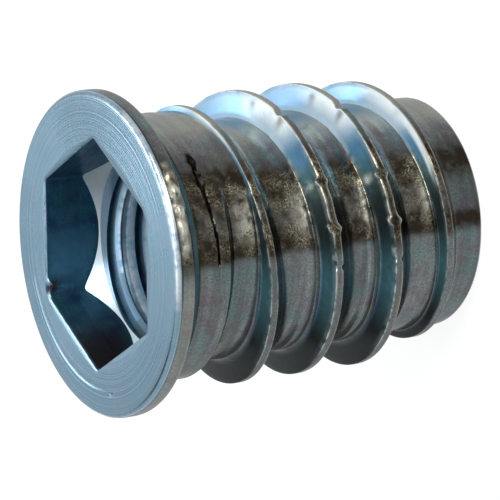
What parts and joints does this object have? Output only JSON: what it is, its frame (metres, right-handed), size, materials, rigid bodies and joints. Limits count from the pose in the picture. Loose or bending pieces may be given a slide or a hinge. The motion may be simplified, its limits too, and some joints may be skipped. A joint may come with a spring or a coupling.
{
  "type": "threaded insert",
  "caption": "Flanged screw-in insert for wood: a cast body with a coarse outer thread, a hex drive socket in the flange face and a machine thread bore right through.",
  "frame": {"origin": "centre of the tail end, on the axis, where the insert stands", "axes": "+Z along the axis, from the tail end out of the flange face; +X towards a corner of the hex socket"},
  "size_m": [0.0128, 0.0128, 0.015],
  "materials": {
    "zinc_plate": "blue zinc plate over a zinc casting, satin to glossy"
  },
  "bodies": {
    "root": {"insert_body": "zinc_plate"}
  },
  "joints": []
}
